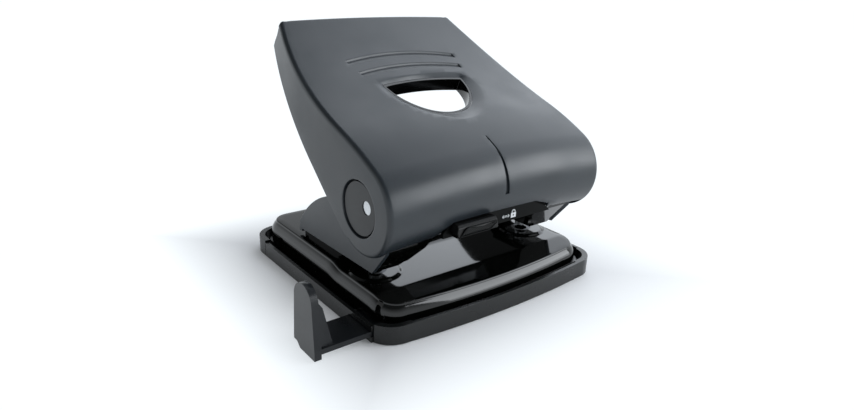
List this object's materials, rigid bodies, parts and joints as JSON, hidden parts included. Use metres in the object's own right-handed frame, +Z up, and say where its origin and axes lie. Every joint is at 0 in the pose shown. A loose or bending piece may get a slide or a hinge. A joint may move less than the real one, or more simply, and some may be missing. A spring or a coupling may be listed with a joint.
{
  "type": "two-hole desk punch",
  "caption": "Two-hole desk punch with a hinged hand lever, a sliding lever lock, a pull-out paper guide and a chip pan that opens underneath.",
  "frame": {"origin": "middle of the underside, in the plane midway between the two punches", "axes": "+X to the right, +Y to the back, +Z up; the paper goes in along +Y"},
  "size_m": [0.1374, 0.1116, 0.1033],
  "materials": {
    "tray_frame": "satin moulded",
    "chip_pan": "satin moulded",
    "pan_hinge_pins": "drawn",
    "base_plate": "gloss enamel",
    "die_left": "ground",
    "die_right": "ground",
    "plate_standoffs": "turned",
    "tray_screws": "zinc plated",
    "bracket_left": "satin",
    "bracket_right": "satin",
    "bracket_rivets": "formed",
    "bracket_cover_left": "satin moulded",
    "bracket_cover_right": "satin moulded",
    "punch_pin_left": "ground",
    "punch_pin_right": "ground",
    "spring_washer_left": "stamped",
    "spring_washer_right": "stamped",
    "retaining_ring_left": "blued",
    "retaining_ring_right": "blued",
    "return_spring_left": "wire",
    "return_spring_right": "wire",
    "lever_cover": "fine grain",
    "hand_collar": "gloss",
    "pivot_cap_left": "fine grain",
    "pivot_cap_right": "fine grain",
    "axle": "ground",
    "lever_liner": "satin moulded",
    "press_lever": "zinc plated",
    "lever_screws": "zinc plated",
    "lock_slider": "fine grain",
    "lock_bar": "stamped",
    "paper_guide": "satin moulded"
  },
  "bodies": {
    "base": {"tray_frame": "tray_frame", "base_plate": "base_plate", "die_left": "die_left", "die_right": "die_right", "plate_standoffs": "plate_standoffs", "tray_screws": "tray_screws", "bracket_left": "bracket_left", "bracket_right": "bracket_right", "bracket_rivets": "bracket_rivets", "bracket_cover_left": "bracket_cover_left", "bracket_cover_right": "bracket_cover_right", "pan_hinge_pins": "pan_hinge_pins"},
    "lever": {"lever_cover": "lever_cover", "hand_collar": "hand_collar", "pivot_cap_left": "pivot_cap_left", "pivot_cap_right": "pivot_cap_right", "axle": "axle", "lever_liner": "lever_liner", "press_lever": "press_lever", "lever_screws": "lever_screws"},
    "lock": {"lock_slider": "lock_slider", "lock_bar": "lock_bar"},
    "punch_left": {"punch_pin_left": "punch_pin_left", "spring_washer_left": "spring_washer_left", "retaining_ring_left": "retaining_ring_left", "return_spring_left": "return_spring_left"},
    "punch_right": {"punch_pin_right": "punch_pin_right", "spring_washer_right": "spring_washer_right", "retaining_ring_right": "retaining_ring_right", "return_spring_right": "return_spring_right"},
    "pan": {"chip_pan": "chip_pan"},
    "guide": {"paper_guide": "paper_guide"}
  },
  "joints": [
    {"name": "lever_hinge", "type": "hinge", "parent": "base", "child": "lever", "pos_m": [0, -0.0368, 0.0466], "axis": [-1, 0, 0], "range_deg": [0, 27], "stiffness_Nm_per_rad": 0.2, "springref_deg": -28.65},
    {"name": "punch_left_slide", "type": "slide", "parent": "base", "child": "punch_left", "axis": [0, 0, -1], "range_m": [0, 0.0066], "deforming": ["return_spring_left"]},
    {"name": "punch_right_slide", "type": "slide", "parent": "base", "child": "punch_right", "axis": [0, 0, -1], "range_m": [0, 0.0066], "deforming": ["return_spring_right"]},
    {"name": "lock_slide", "type": "slide", "parent": "lever", "child": "lock", "axis": [1, 0, 0], "range_m": [0, 0.01]},
    {"name": "pan_hinge", "type": "hinge", "parent": "base", "child": "pan", "pos_m": [0.0464, -0.0039, 0.0021], "axis": [0, -1, 0], "range_deg": [0, 70]},
    {"name": "guide_slide", "type": "slide", "parent": "pan", "child": "guide", "axis": [-1, 0, 0], "range_m": [-0.014, 0.068]}
  ],
  "couplings": [
    {"joint": "punch_left_slide", "follows": "lever_hinge", "m_per_rad": 0.0139},
    {"joint": "punch_right_slide", "follows": "lever_hinge", "m_per_rad": 0.0139}
  ]
}
